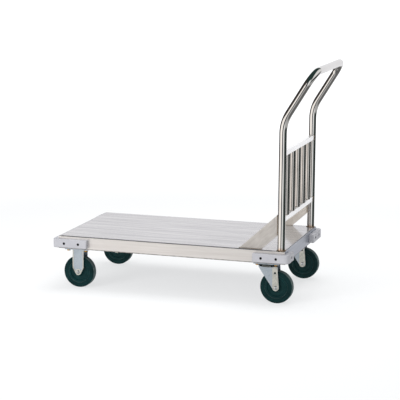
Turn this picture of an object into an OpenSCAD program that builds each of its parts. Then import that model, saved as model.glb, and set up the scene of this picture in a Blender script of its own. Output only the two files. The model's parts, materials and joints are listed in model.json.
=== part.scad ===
// Stainless platform cart for luggage: a flat deck on four castors, one welded push
// handle, a barred grille between its posts and two flat side braces.
// X runs along the deck with the handle at +X, Y runs across it, Z is up.
// The origin is on the floor, under the middle of the whole cart's box.

/* [Deck] */
// Length of the welded deck frame
deck_l = 904; // [740:1:1400]
// Width of the welded deck frame
deck_w = 505; // [430:1:900]
// Height of the frame rails
rail_h = 48; // [44:1:70]
// Thickness of the rail metal
rail_t = 3; // [2:0.5:4]
// Width of the rails' top flange, which carries the posts
top_flange = 42; // [38:1:60]
// Width of the rails' bottom flange, which carries the castors
bottom_flange = 30; // [26:1:34]
// Thickness of the deck sheet
sheet_t = 2; // [1:0.5:3]
// Strip of rail left bare round the deck sheet
sheet_inset = 5; // [1:1:8]
// Width of each cross member under the deck
cross_w = 40; // [25:1:60]

/* [Handle] */
// Outside diameter of the handle tube
tube_d = 28.6; // [25:0.2:32]
// Wall of every round and square tube
tube_wall = 1.5; // [1:0.25:2.5]
// Post centre line, in from the end of the frame
post_end_inset = 19; // [18:0.5:24]
// Post centre line, in from the side of the frame
post_side_inset = 17.5; // [17:0.5:24]
// Height of the bend above the deck
bend_height = 479; // [420:1:620]
// Lean of the grip above the bend, in degrees
lean = 31.5; // [15:0.5:45]
// Rise of the leaning part, from the bend to the crossbar
lean_rise = 186; // [150:1:260]
// Centre line radius of the lower bend
bend_r = 145; // [80:5:180]
// Centre line radius of the two top corners
corner_r = 58; // [40:1:90]

/* [Grille and braces] */
// Side of the square rails of the grille
grille_side = 19; // [16:0.5:25]
// Height of the bottom rail's centre above the deck
grille_low = 115; // [70:1:180]
// Height of the top rail's centre above the deck
grille_high = 362; // [300:1:400]
// Diameter of the upright bars
bar_d = 21.7; // [12:0.1:26]
// Distance between the upright bars
bar_pitch = 84; // [50:1:100]
// Width of the flat braces
brace_w = 58; // [30:1:80]
// Thickness of the flat braces
brace_t = 5; // [3:0.5:8]
// Angle of the braces above the deck
brace_angle = 42.5; // [35:0.5:50]
// Bare deck between the post and the foot of the brace
brace_gap = 61; // [30:1:90]

/* [Bumpers] */
// Thickness of the corner bumpers
bumper_t = 19; // [14:1:25]
// Height of the corner bumpers
bumper_h = 33; // [24:1:36]
// Long leg of a bumper, from the outer corner
bumper_long = 140; // [125:1:160]
// Short leg of a bumper, from the outer corner
bumper_short = 82; // [65:1:120]
// Bumper's top edge below the top of the rails
bumper_drop = 9; // [4:1:10]
// Distance from the outer corner to the first screw of each leg
screw_first = 49; // [35:1:55]
// Distance between the two screws of the long leg
screw_pitch = 58; // [40:1:65]

/* [Castors] */
// Height from the floor to the castor's mounting face
castor_h = 157; // [154:1:180]
// Wheel diameter
wheel_d = 125; // [100:1:128]
// Tyre width
wheel_w = 31; // [24:1:36]
// Diameter of the wheel core inside the tyre
core_d = 86; // [60:1:90]
// Width of the wheel's hub
hub_w = 35; // [28:1:38]
// Castor centre, in from the end of the frame
castor_end_inset = 73; // [72:1:110]
// Castor centre, in from the side of the frame
castor_side_inset = 41; // [41:0.5:45]
// Distance that the swivel wheels trail behind their king pin
trail = 34; // [20:1:40]
// Castor plate along the deck
plate_l = 96; // [94:1:110]
// Castor plate across the deck
plate_w = 78; // [76:1:82]
// Thickness of the castor plate
plate_t = 4; // [3:0.5:5]
// Bolt spacing along the deck
bolt_x = 72; // [72:1:76]
// Bolt spacing across the deck
bolt_y = 55; // [54:1:57]
// Castor bolt diameter
bolt_d = 8; // [6:1:8]

/* [Clearances] */
// Diametral clearance of a turning fit
running = 0.1; // [0.04:0.02:0.2]
// Diametral clearance of a bolt in its hole
bolt_play = 1; // [0.4:0.1:1.2]
// Gap between welded tubes before the bead
weld_gap = 0.2; // [0.1:0.1:0.4]
// Gap round the posts and braces where they pass through the deck sheet
sheet_play = 0.6; // [0.4:0.1:1]

/* [Hidden] */
$fn = 64;

// Levels
rail_z0 = castor_h;
rail_z1 = castor_h + rail_h;
deck_z = rail_z1 + sheet_t;

// Handle
post_x = deck_l / 2 - post_end_inset;
post_y = deck_w / 2 - post_side_inset;
tube_r = tube_d / 2;
bend_z = deck_z + bend_height;
bend_tangent = bend_r * tan(lean / 2);
slant_l = lean_rise / cos(lean);
bar_x = post_x + lean_rise * tan(lean);
joint_run = 1;
joint_step = 0.1;

// Where the whole cart starts and ends, and the shift that puts its middle over the origin
cart_x0 = -deck_l / 2 - bumper_t;
cart_x1 = bar_x + tube_r;
shift_x = -(cart_x0 + cart_x1) / 2;

// Braces: the lines of the inner and the outer edge meet the deck and the post
post_face_x = post_x - tube_r;
brace_inner_run = brace_gap;
brace_outer_run = brace_gap + brace_w / sin(brace_angle);

// Bumpers
screw_head_d = 9;
screw_head_h = 3.5;
screw_d = 5;
screw_end = 6;
counterbore_d = 10;
counterbore_depth = 8;
bumper_z0 = rail_z1 - bumper_drop - bumper_h;

// Castors
castor_x = deck_l / 2 - castor_end_inset;
castor_y = deck_w / 2 - castor_side_inset;
axle_z = wheel_d / 2;
hub_play = 1.5;
leg_in = hub_w / 2 + hub_play;
leg_t = 2.5;
rib_t = 1.2;
leg_out = leg_in + leg_t + rib_t;
tip_r = 12.5;
axle_d = 10;
sleeve_d = 14;
sleeve_play = 0.2;
axle_head_d = 14;
axle_head_h = 3.5;
nut_h = 8;
nut_af = 17;
plate_z0 = castor_h - plate_t;
bolt_head_h = 5.3;
bolt_af = 13;
bolt_nut_h = 6.5;
thread_end = 3;

// Rigid fork
rigid_leg_w = 45;
rigid_shoulder = 18;
rigid_rim = 4;

// Swivel head
crown_r = 36.5;
crown_t = 3.5;
race_gap = 7.5;
crown_z1 = plate_z0 - race_gap;
crown_z0 = crown_z1 - crown_t;
cover_t = 2.5;
cover_h = 5;
ball_play = 0.1;
ball_d = race_gap - 2 * ball_play;
ball_track_r = 27;
ball_pitch = ball_d + 0.5;
ball_count = floor(360 / (2 * asin(ball_pitch / (2 * ball_track_r))));
pin_d = 12;
pin_head_d = 20;
pin_head_h = 4;
pin_play = 0.2;
fork_back = 34;
fork_drop = 12;
fork_front = 6;
fork_waist = 27;
band_w = 19;
fork_hole_d = 8.5;
fork_hole_up = 56;

// ---------- helpers ----------

module placed() translate([shift_x, 0, 0]) children();

module box_between(a, b) translate(a) cube(b - a);

module hexagon_prism(af, h) cylinder(d = af / cos(30), h = h, $fn = 6);

// A cylinder from one side of the origin to the other along Y
module cylinder_y(d, y0, y1) translate([0, y1, 0]) rotate([90, 0, 0]) cylinder(d = d, h = y1 - y0);

// An outline drawn in X and Z, standing between two values of Y
module upright(y0, y1) translate([0, y1, 0]) rotate([90, 0, 0]) linear_extrude(y1 - y0) children();

// The point where a line from p touches a circle of radius r round c; side is 1 or -1
function tangent_point(p, c, r, side) =
    let (d = norm(p - c), a = atan2(p[1] - c[1], p[0] - c[0]) + side * acos(r / d))
    c + r * [cos(a), sin(a)];

// ---------- deck ----------

// Plan of one mitred flange along the side at -Y, from the edge inwards
module mitred_strip(l, w, depth) polygon([
    [-l / 2, -w / 2], [l / 2, -w / 2], [l / 2 - depth, -w / 2 + depth], [-l / 2 + depth, -w / 2 + depth]]);

// Channel rail along the side at -Y, mitred at both ends and open towards the middle
module channel_rail(l, w) {
    translate([0, 0, rail_z0]) linear_extrude(rail_t) mitred_strip(l, w, bottom_flange);
    translate([0, 0, rail_z0]) linear_extrude(rail_h) mitred_strip(l, w, rail_t);
    translate([0, 0, rail_z1 - rail_t]) linear_extrude(rail_t) mitred_strip(l, w, top_flange);
}

// Distances from the middle of a rail to the screws of a bumper's short and long leg
function short_leg_spots(l) = [l / 2 + bumper_t - screw_first];
function long_leg_spots(l) = [for (k = [0, 1]) l / 2 + bumper_t - screw_first - k * screw_pitch];

// Holes for the bumper screws through the web of a rail at -Y
module screw_holes(spots, w) {
    for (x = spots) translate([x, 0, bumper_z0 + bumper_h / 2])
        cylinder_y(screw_d + running, -w / 2 - 1, -w / 2 + rail_t + 1);
}

module castor_bolt_spots()
    for (sx = [-1, 1], sy = [-1, 1], ix = [-1, 1], iy = [-1, 1])
        translate([sx * castor_x + ix * bolt_x / 2, sy * castor_y + iy * bolt_y / 2, 0]) children();

module castor_bolt_holes()
    castor_bolt_spots() translate([0, 0, plate_z0 - 1]) cylinder(d = bolt_d + bolt_play, h = plate_t + rail_t + 2);

// A rail with the screw holes of the bumpers at its two ends
module side_rail(low_end, high_end) difference() {
    channel_rail(deck_l, deck_w);
    screw_holes(concat(-low_end, high_end), deck_w);
    castor_bolt_holes();
}

module end_rail(low_end, high_end) rotate(90) difference() {
    channel_rail(deck_w, deck_l);
    screw_holes(concat(-low_end, high_end), deck_l);
}

// The bumper at the rear right is turned over, so its long leg lies along the end of the deck
module side_rail_left() color("gainsboro") placed()
    side_rail(long_leg_spots(deck_l), long_leg_spots(deck_l));
module side_rail_right() color("gainsboro") placed() mirror([0, 1, 0])
    side_rail(long_leg_spots(deck_l), short_leg_spots(deck_l));
module end_rail_front() color("silver") placed() mirror([1, 0, 0])
    end_rail(short_leg_spots(deck_w), short_leg_spots(deck_w));
module end_rail_rear() color("silver") placed()
    end_rail(short_leg_spots(deck_w), long_leg_spots(deck_w));

// The foot of a brace where it passes through the deck sheet, from the post's face. Its slot is
// longer towards the post, so that nothing lies over the sheet up to the height foot_clear.
foot_clear = 2.5;
brace_foot_x0 = post_face_x - brace_outer_run - sheet_t / tan(brace_angle);
brace_foot_x1 = post_face_x - brace_inner_run;
brace_slot_x1 = brace_foot_x1 + foot_clear / tan(brace_angle);

// The sheet is notched at the posts and slotted at the braces, which stand on the rails below it
module deck_sheet() color("lightgray") placed() difference() {
    box_between([-deck_l / 2 + sheet_inset, -deck_w / 2 + sheet_inset, rail_z1],
                [deck_l / 2 - sheet_inset, deck_w / 2 - sheet_inset, deck_z]);
    for (s = [0, 1]) mirror([0, s, 0]) {
        box_between([post_face_x - sheet_play, post_y - tube_r - sheet_play, rail_z1 - 1],
                    [deck_l / 2, deck_w / 2, deck_z + 1]);
        box_between([brace_foot_x0 - sheet_play, post_y - brace_t / 2 - sheet_play, rail_z1 - 1],
                    [brace_slot_x1 + sheet_play, post_y + brace_t / 2 + sheet_play, deck_z + 1]);
    }
}

// Half lengths of a cross piece: at the top flanges, at the webs and at the bottom flanges
cross_top_y = deck_w / 2 - top_flange;
cross_web_y = deck_w / 2 - rail_t;
cross_low_y = deck_w / 2 - bottom_flange;

// Keeps what fits between the side rails: full height in the middle, coped at the ends
module coped() intersection() {
    children();
    union() {
        box_between([-deck_l / 2, -cross_top_y, rail_z0], [deck_l / 2, cross_top_y, rail_z1]);
        box_between([-deck_l / 2, -cross_low_y, rail_z0], [deck_l / 2, cross_low_y, rail_z1 - rail_t]);
        box_between([-deck_l / 2, -cross_web_y, rail_z0 + rail_t], [deck_l / 2, cross_web_y, rail_z1 - rail_t]);
    }
}

module cross_member(x) color("darkgray") placed() coped() difference() {
    box_between([x - cross_w / 2, -deck_w / 2, rail_z0 + rail_t], [x + cross_w / 2, deck_w / 2, rail_z1]);
    box_between([x - cross_w / 2 + rail_t, -deck_w, rail_z0], [x + cross_w / 2 - rail_t, deck_w, rail_z1 - rail_t]);
}

// Three bays of bare sheet between the two bridges are about equal
cross_x = (castor_x - plate_l / 2) / 3;
module cross_member_front() cross_member(-cross_x);
module cross_member_rear() cross_member(cross_x);

// Bridge over a pair of castors: a web level with the rails' bottom, a wall and a lip
bridge_x0 = castor_x - plate_l / 2 - 4;
bridge_x1 = deck_l / 2 - bottom_flange;
bridge_lip = 20;

module castor_bridge() coped() difference() {
    union() {
        box_between([bridge_x0, -deck_w / 2, rail_z0], [bridge_x1, deck_w / 2, rail_z0 + rail_t]);
        box_between([bridge_x0, -deck_w / 2, rail_z0], [bridge_x0 + rail_t, deck_w / 2, rail_z1]);
        box_between([bridge_x0 - bridge_lip, -cross_top_y, rail_z1 - rail_t], [bridge_x0 + rail_t, cross_top_y, rail_z1]);
    }
    castor_bolt_holes();
}

module castor_bridge_front() color("darkgray") placed() mirror([1, 0, 0]) castor_bridge();
module castor_bridge_rear() color("darkgray") placed() castor_bridge();

// ---------- bumpers ----------

// Plan of a bumper: its outer corner is at the origin, its long leg towards -X, its short one towards -Y
module bumper_plan() difference() {
    polygon([[0, 0], [-bumper_long, 0], [-bumper_long, -bumper_t], [-bumper_t, -bumper_t],
             [-bumper_t, -bumper_short], [0, -bumper_short]]);
    difference() {
        translate([-bumper_t, -bumper_t]) square(bumper_t + 1);
        translate([-bumper_t, -bumper_t]) circle(bumper_t);
    }
}

// Runs its children, made for a screw pointing along +Y at the face y = 0, at each screw of a bumper
module at_bumper_screws() {
    for (k = [0, 1]) translate([-screw_first - k * screw_pitch, 0, bumper_h / 2]) children();
    translate([0, -screw_first, bumper_h / 2]) rotate([0, 0, -90]) children();
}

module bumper() difference() {
    linear_extrude(bumper_h) bumper_plan();
    at_bumper_screws() {
        cylinder_y(counterbore_d, -counterbore_depth, 1);
        cylinder_y(screw_d + bolt_play, -bumper_t - 1, 1);
    }
}

module at_corner(sx, sy) placed() translate([sx * (deck_l / 2 + bumper_t), sy * (deck_w / 2 + bumper_t), bumper_z0])
    mirror([sx < 0 ? 1 : 0, 0, 0]) mirror([0, sy < 0 ? 1 : 0, 0]) children();

// Swaps the directions of the two legs
module turned_over() mirror([1, -1, 0]) children();

module bumper_front_left() color("darkgray") at_corner(-1, -1) bumper();
module bumper_front_right() color("darkgray") at_corner(-1, 1) bumper();
module bumper_rear_left() color("darkgray") at_corner(1, -1) bumper();
module bumper_rear_right() color("darkgray") at_corner(1, 1) turned_over() bumper();

module bumper_screw() {
    cylinder_y(screw_head_d, -counterbore_depth, -counterbore_depth + screw_head_h);
    cylinder_y(screw_d, -bumper_t - rail_t - screw_end, -counterbore_depth);
}

module bumper_screws() color("dimgray") {
    for (corner = [[-1, -1], [-1, 1], [1, -1]]) at_corner(corner[0], corner[1]) at_bumper_screws() bumper_screw();
    at_corner(1, 1) turned_over() at_bumper_screws() bumper_screw();
}

// ---------- handle, grille and braces ----------

// An arc of the handle from +X towards +Y. It is a hair slimmer than the straight tubes and
// runs a little way into both, so that the joints close cleanly at any size.
module bend_arc(radius, angle, r) {
    extra = joint_run / radius * 180 / PI;
    rotate(-extra) rotate_extrude(angle = angle + 2 * extra) translate([radius, 0]) circle(r - joint_step);
}

// The handle's bent path as a solid of radius r, started below its feet by foot
module handle_path(r, foot) {
    for (s = [-1, 1]) {
        translate([post_x, s * post_y, rail_z1 - foot]) cylinder(r = r, h = bend_z - bend_tangent - rail_z1 + foot);
        translate([post_x + bend_r, s * post_y, bend_z - bend_tangent])
            rotate([90, 0, 0]) rotate(180 - lean) bend_arc(bend_r, lean, r);
    }
    translate([post_x, 0, bend_z]) rotate([0, lean, 0]) {
        for (s = [-1, 1]) mirror([0, s < 0 ? 1 : 0, 0]) {
            translate([0, post_y, bend_tangent]) cylinder(r = r, h = slant_l - corner_r - bend_tangent);
            translate([0, post_y - corner_r, slant_l - corner_r])
                rotate([90, 0, 90]) bend_arc(corner_r, 90, r);
        }
        translate([0, 0, slant_l]) cylinder_y(2 * r, -post_y + corner_r, post_y - corner_r);
    }
}

module handle_tube() color("silver") placed() difference() {
    handle_path(tube_r, 0);
    handle_path(tube_r - tube_wall, 1);
}

// Square tube between the posts, coped to them at both ends
module grille_rail(height) color("whitesmoke") placed() difference() {
    translate([post_x - grille_side / 2, -post_y, deck_z + height - grille_side / 2])
        cube([grille_side, 2 * post_y, grille_side]);
    translate([post_x - grille_side / 2 + tube_wall, -post_y - 1, deck_z + height - grille_side / 2 + tube_wall])
        cube([grille_side - 2 * tube_wall, 2 * post_y + 2, grille_side - 2 * tube_wall]);
    for (s = [-1, 1]) translate([post_x, s * post_y, deck_z])
        cylinder(r = tube_r + weld_gap, h = grille_high + grille_side);
}

module grille_top_rail() grille_rail(grille_high);
module grille_bottom_rail() grille_rail(grille_low);

bar_z0 = deck_z + grille_low + grille_side / 2;
bar_z1 = deck_z + grille_high - grille_side / 2;

// Upright bar of the grille, counted from the left side of the cart
module grille_bar(number) color("silver") placed() translate([post_x, (number - 3) * bar_pitch, bar_z0])
    difference() {
        cylinder(d = bar_d, h = bar_z1 - bar_z0);
        translate([0, 0, -1]) cylinder(d = bar_d - 2 * tube_wall, h = bar_z1 - bar_z0 + 2);
    }

module grille_bar_1() grille_bar(1);
module grille_bar_2() grille_bar(2);
module grille_bar_3() grille_bar(3);
module grille_bar_4() grille_bar(4);
module grille_bar_5() grille_bar(5);

// Flat brace from the deck to the post, through the sheet to the rail below it
module brace() upright(post_y - brace_t / 2, post_y + brace_t / 2) polygon([
    [brace_foot_x0, rail_z1],
    [brace_foot_x1 - sheet_t / tan(brace_angle), rail_z1],
    [post_face_x - weld_gap, deck_z + (brace_inner_run - weld_gap) * tan(brace_angle)],
    [post_face_x - weld_gap, deck_z + (brace_outer_run - weld_gap) * tan(brace_angle)]]);

module brace_left() color("tan") placed() mirror([0, 1, 0]) brace();
module brace_right() color("tan") placed() brace();

// ---------- castor fasteners ----------

module castor_bolts() color("goldenrod") placed() castor_bolt_spots() {
    translate([0, 0, plate_z0 - bolt_head_h]) hexagon_prism(bolt_af, bolt_head_h);
    translate([0, 0, plate_z0]) cylinder(d = bolt_d, h = plate_t + rail_t + bolt_nut_h + thread_end);
}

module castor_nuts() color("goldenrod") placed() castor_bolt_spots() translate([0, 0, rail_z0 + rail_t]) difference() {
    hexagon_prism(bolt_af, bolt_nut_h);
    translate([0, 0, -1]) cylinder(d = bolt_d + running, h = bolt_nut_h + 2);
}

// ---------- castors; each is made round its own mounting centre, on the floor ----------

module at_castor(sx, sy) placed() translate([sx * castor_x, sy * castor_y, 0]) children();

module castor_plate_blank() difference() {
    translate([-plate_l / 2, -plate_w / 2, plate_z0]) cube([plate_l, plate_w, plate_t]);
    for (ix = [-1, 1], iy = [-1, 1]) translate([ix * bolt_x / 2, iy * bolt_y / 2, plate_z0 - 1])
        cylinder(d = bolt_d + bolt_play, h = plate_t + 2);
}

// Outline of a rigid leg, with its rim taken off when edge is more than nothing
module rigid_outline(edge) {
    axle = [0, axle_z];
    half_w = rigid_leg_w / 2 - edge;
    shoulder = axle_z + rigid_shoulder;
    left = tangent_point([-half_w, shoulder], axle, tip_r - edge, 1);
    right = tangent_point([half_w, shoulder], axle, tip_r - edge, -1);
    polygon([[half_w, plate_z0], [-half_w, plate_z0], [-half_w, shoulder], left, axle, right, [half_w, shoulder]]);
    translate(axle) circle(tip_r - edge);
}

module rigid_leg() difference() {
    upright(leg_in, leg_out) rigid_outline(0);
    difference() {
        upright(leg_out - rib_t, leg_out + 1) rigid_outline(rigid_rim);
        translate([0, 0, axle_z]) cylinder_y(2 * tip_r, leg_in, leg_out + 2);
    }
    translate([0, 0, axle_z]) cylinder_y(axle_d + running, leg_in - 1, leg_out + 1);
}

module rigid_fork() {
    castor_plate_blank();
    rigid_leg();
    mirror([0, 1, 0]) rigid_leg();
}

// Outline of a swivel leg; the axle is behind the king pin by the trail
module swivel_outline() {
    axle = [trail, axle_z];
    back = [-fork_back, crown_z0];
    waist = [-fork_waist, crown_z0 - fork_drop];
    front = [trail + fork_front, crown_z0];
    polygon([front, back, waist, tangent_point(waist, axle, tip_r, 1), axle, tangent_point(front, axle, tip_r, -1)]);
    translate(axle) circle(tip_r);
}

// Pressed band down the trailing edge of a swivel leg, as wide as band_w and round at the axle
module swivel_band() {
    axle = [trail, axle_z];
    front = [trail + fork_front, crown_z0];
    intersection() {
        swivel_outline();
        polygon([front, front - [band_w, 0], tangent_point(front - [band_w, 0], axle, tip_r, 1), axle,
                 tangent_point(front, axle, tip_r, -1)]);
    }
    translate(axle) circle(tip_r);
}

module swivel_leg() difference() {
    union() {
        upright(leg_in, leg_out - rib_t) swivel_outline();
        upright(leg_in, leg_out) swivel_band();
    }
    translate([trail, 0, axle_z]) cylinder_y(axle_d + running, leg_in - 1, leg_out + 1);
    translate([trail - 3, 0, axle_z + fork_hole_up]) cylinder_y(fork_hole_d, leg_in - 1, leg_out + 1);
}

module swivel_fork() {
    difference() {
        union() {
            translate([0, 0, crown_z0]) cylinder(r = crown_r, h = crown_t);
            translate([0, 0, crown_z1]) cylinder(r = crown_r, h = cover_h);
        }
        translate([0, 0, crown_z1]) cylinder(r = crown_r - cover_t, h = cover_h + 1);
        translate([0, 0, crown_z0 - 1]) cylinder(d = pin_d + running, h = crown_t + 2);
    }
    swivel_leg();
    mirror([0, 1, 0]) swivel_leg();
}

module swivel_plate() difference() {
    castor_plate_blank();
    translate([0, 0, plate_z0 - 1]) cylinder(d = pin_d + running / 2, h = plate_t + 2);
}

module king_pin() {
    translate([0, 0, crown_z0 - pin_play - pin_head_h]) cylinder(d = pin_head_d, h = pin_head_h);
    translate([0, 0, crown_z0 - pin_play]) cylinder(d = pin_d, h = castor_h - crown_z0 + pin_play);
}

module ball_ring() for (i = [0 : ball_count - 1]) rotate(i * 360 / ball_count)
    translate([ball_track_r, 0, crown_z1 + race_gap / 2]) sphere(d = ball_d);

// Spacer tube between the legs, on which the wheel turns
module sleeve() difference() {
    cylinder_y(sleeve_d, -leg_in + sleeve_play / 2, leg_in - sleeve_play / 2);
    cylinder_y(axle_d + running, -leg_in, leg_in);
}

module axle() {
    cylinder_y(axle_d, -leg_out, leg_out + nut_h + 2);
    cylinder_y(axle_head_d, -leg_out - axle_head_h, -leg_out);
}

module axle_nut() difference() {
    translate([0, leg_out + nut_h, 0]) rotate([90, 0, 0]) hexagon_prism(nut_af, nut_h);
    cylinder_y(axle_d + running, leg_out - 1, leg_out + nut_h + 1);
}

// Wheel parts turn about Y. Their profiles are drawn as radius and distance from the middle.
module turned_y() rotate([-90, 0, 0]) rotate_extrude() children();

core_r = core_d / 2;
rim_w = wheel_w - 3;
web_w = wheel_w - 11;
hub_r = 15;
rim_t = 8;

module wheel_core() turned_y() difference() {
    union() {
        translate([0, -hub_w / 2]) square([hub_r, hub_w]);
        translate([0, -web_w / 2]) square([core_r, web_w]);
        translate([core_r - rim_t, -rim_w / 2]) square([rim_t, rim_w]);
    }
    translate([-1, -hub_w]) square([sleeve_d / 2 + running / 2 + 1, 2 * hub_w]);
}

shoulder_r = min(6, (wheel_d - core_d) / 4);
wheel_r = wheel_d / 2;
side_groove = 2;

module tyre() turned_y() difference() {
    union() {
        translate([core_r, -wheel_w / 2]) square([wheel_r - shoulder_r - core_r, wheel_w]);
        translate([core_r, -wheel_w / 2 + shoulder_r]) square([wheel_r - core_r, wheel_w - 2 * shoulder_r]);
        for (s = [-1, 1]) translate([wheel_r - shoulder_r, s * (wheel_w / 2 - shoulder_r)]) circle(shoulder_r);
    }
    for (s = [-1, 1]) translate([core_r, s * wheel_w / 2]) rotate(45) square(side_groove, center = true);
}

module at_wheel(sx, sy) at_castor(sx, sy) translate([sx > 0 ? trail : 0, 0, axle_z]) children();

module rigid_fork_left() color("lightsteelblue") at_castor(-1, -1) rigid_fork();
module rigid_fork_right() color("lightsteelblue") at_castor(-1, 1) rigid_fork();
module rigid_sleeve_left() color("dimgray") at_wheel(-1, -1) sleeve();
module rigid_sleeve_right() color("dimgray") at_wheel(-1, 1) sleeve();
module rigid_axle_left() color("lightgray") at_wheel(-1, -1) axle();
module rigid_axle_right() color("lightgray") at_wheel(-1, 1) axle();
module rigid_nut_left() color("lightgray") at_wheel(-1, -1) axle_nut();
module rigid_nut_right() color("lightgray") at_wheel(-1, 1) axle_nut();
module rigid_core_left() color("darkslategray") at_wheel(-1, -1) wheel_core();
module rigid_core_right() color("darkslategray") at_wheel(-1, 1) wheel_core();
module rigid_tyre_left() color("darkslategray") at_wheel(-1, -1) tyre();
module rigid_tyre_right() color("darkslategray") at_wheel(-1, 1) tyre();

module swivel_plate_left() color("lightsteelblue") at_castor(1, -1) swivel_plate();
module swivel_plate_right() color("lightsteelblue") at_castor(1, 1) swivel_plate();
module king_pin_left() color("gray") at_castor(1, -1) king_pin();
module king_pin_right() color("gray") at_castor(1, 1) king_pin();
module ball_ring_left() color("gray") at_castor(1, -1) ball_ring();
module ball_ring_right() color("gray") at_castor(1, 1) ball_ring();
module swivel_fork_left() color("lightsteelblue") at_castor(1, -1) swivel_fork();
module swivel_fork_right() color("lightsteelblue") at_castor(1, 1) swivel_fork();
module swivel_sleeve_left() color("dimgray") at_wheel(1, -1) sleeve();
module swivel_sleeve_right() color("dimgray") at_wheel(1, 1) sleeve();
module swivel_axle_left() color("lightgray") at_wheel(1, -1) axle();
module swivel_axle_right() color("lightgray") at_wheel(1, 1) axle();
module swivel_nut_left() color("lightgray") at_wheel(1, -1) axle_nut();
module swivel_nut_right() color("lightgray") at_wheel(1, 1) axle_nut();
module swivel_core_left() color("darkslategray") at_wheel(1, -1) wheel_core();
module swivel_core_right() color("darkslategray") at_wheel(1, 1) wheel_core();
module swivel_tyre_left() color("darkslategray") at_wheel(1, -1) tyre();
module swivel_tyre_right() color("darkslategray") at_wheel(1, 1) tyre();

deck_sheet();
side_rail_left();
side_rail_right();
end_rail_front();
end_rail_rear();
castor_bridge_front();
castor_bridge_rear();
cross_member_front();
cross_member_rear();
bumper_front_left();
bumper_front_right();
bumper_rear_left();
bumper_rear_right();
bumper_screws();
handle_tube();
grille_top_rail();
grille_bottom_rail();
grille_bar_1();
grille_bar_2();
grille_bar_3();
grille_bar_4();
grille_bar_5();
brace_left();
brace_right();
castor_bolts();
castor_nuts();
rigid_fork_left();
rigid_fork_right();
rigid_sleeve_left();
rigid_sleeve_right();
rigid_axle_left();
rigid_axle_right();
rigid_nut_left();
rigid_nut_right();
rigid_core_left();
rigid_core_right();
rigid_tyre_left();
rigid_tyre_right();
swivel_plate_left();
swivel_plate_right();
king_pin_left();
king_pin_right();
ball_ring_left();
ball_ring_right();
swivel_fork_left();
swivel_fork_right();
swivel_sleeve_left();
swivel_sleeve_right();
swivel_axle_left();
swivel_axle_right();
swivel_nut_left();
swivel_nut_right();
swivel_core_left();
swivel_core_right();
swivel_tyre_left();
swivel_tyre_right();
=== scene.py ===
import json
import math

import bmesh
import bpy
from mathutils import Matrix, Vector


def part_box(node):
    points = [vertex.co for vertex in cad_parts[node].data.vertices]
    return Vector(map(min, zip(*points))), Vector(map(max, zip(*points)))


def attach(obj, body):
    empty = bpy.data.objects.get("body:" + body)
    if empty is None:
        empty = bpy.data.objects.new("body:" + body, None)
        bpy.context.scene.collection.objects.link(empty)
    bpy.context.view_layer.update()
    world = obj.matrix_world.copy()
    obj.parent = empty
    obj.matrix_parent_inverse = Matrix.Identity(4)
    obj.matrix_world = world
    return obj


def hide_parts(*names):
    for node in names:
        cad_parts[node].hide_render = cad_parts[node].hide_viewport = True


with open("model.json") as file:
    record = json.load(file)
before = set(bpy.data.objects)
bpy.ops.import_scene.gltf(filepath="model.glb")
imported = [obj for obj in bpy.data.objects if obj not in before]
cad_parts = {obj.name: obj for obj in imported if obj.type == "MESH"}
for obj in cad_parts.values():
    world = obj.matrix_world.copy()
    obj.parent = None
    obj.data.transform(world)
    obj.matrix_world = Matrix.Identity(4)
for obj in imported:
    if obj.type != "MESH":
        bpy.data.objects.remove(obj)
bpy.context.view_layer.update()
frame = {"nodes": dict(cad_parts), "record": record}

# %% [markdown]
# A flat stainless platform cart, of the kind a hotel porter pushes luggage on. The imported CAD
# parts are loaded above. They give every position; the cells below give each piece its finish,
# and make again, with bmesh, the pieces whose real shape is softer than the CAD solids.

MM = 0.001
deck_low, deck_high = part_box("deck_sheet")
rail_low, rail_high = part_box("side_rail_left")
handle_low, handle_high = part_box("handle_tube")
deck_top = deck_high.z
deck_middle = (deck_low.x + deck_high.x) / 2

# %% [markdown]
# The camera stands low and far away, a little towards the handle, so the deck is seen almost
# edge-on. A long lens keeps the near and far castors close to the same size. A camera could be
# dragged into place; here it circles a turn point, so two angles and a distance say it all.

# %% Camera
CAMERA_AZIMUTH = math.radians(17.856)
CAMERA_ELEVATION = math.radians(9.955)
CAMERA_ROLL = math.radians(0.372)
CAMERA_DISTANCE = 5.86
LENS_MM = 134.5
AIM_RIGHT = 40.1 * MM
AIM_UP = -55.3 * MM
turn_point = Vector((deck_middle, 0, 386 * MM))
towards_camera = Vector((math.sin(CAMERA_AZIMUTH) * math.cos(CAMERA_ELEVATION),
                         -math.cos(CAMERA_AZIMUTH) * math.cos(CAMERA_ELEVATION),
                         math.sin(CAMERA_ELEVATION)))
level_view = (-towards_camera).to_track_quat("-Z", "Y")
camera_place = turn_point + towards_camera * CAMERA_DISTANCE
aim_point = turn_point + level_view @ Vector((AIM_RIGHT, AIM_UP, 0))
camera = bpy.data.objects.new("camera", bpy.data.cameras.new("camera"))
bpy.context.scene.collection.objects.link(camera)
camera.data.lens = LENS_MM
camera.data.sensor_width = 36
camera.data.clip_end = 200
camera.location = camera_place
camera.rotation_mode = "QUATERNION"
camera.rotation_quaternion = ((aim_point - camera_place).to_track_quat("-Z", "Y")
                              @ Matrix.Rotation(CAMERA_ROLL, 3, "Z").to_quaternion())
bpy.context.scene.camera = camera
print("camera at", [round(v, 2) for v in camera_place])

# %% [markdown]
# Colours are written as sRGB hex values, as a paint card gives them, and turned to the linear
# values that the shader works in. Shader nodes could be joined one call at a time; a function
# that adds a node with its settings and links keeps each finish down to a few lines.

# %% Colour and node helpers
def linear(hex_value):
    channels = [int(hex_value[i:i + 2], 16) / 255 for i in (0, 2, 4)]
    return tuple(c / 12.92 if c <= 0.04045 else ((c + 0.055) / 1.055) ** 2.4 for c in channels) + (1.0,)


def add(tree, kind, inputs=None, **settings):
    node = tree.nodes.new(kind)
    for name, value in settings.items():
        setattr(node, name, value)
    for name, value in (inputs or {}).items():
        if isinstance(value, bpy.types.NodeSocket):
            tree.links.new(value, node.inputs[name])
        else:
            node.inputs[name].default_value = value
    return node


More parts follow.
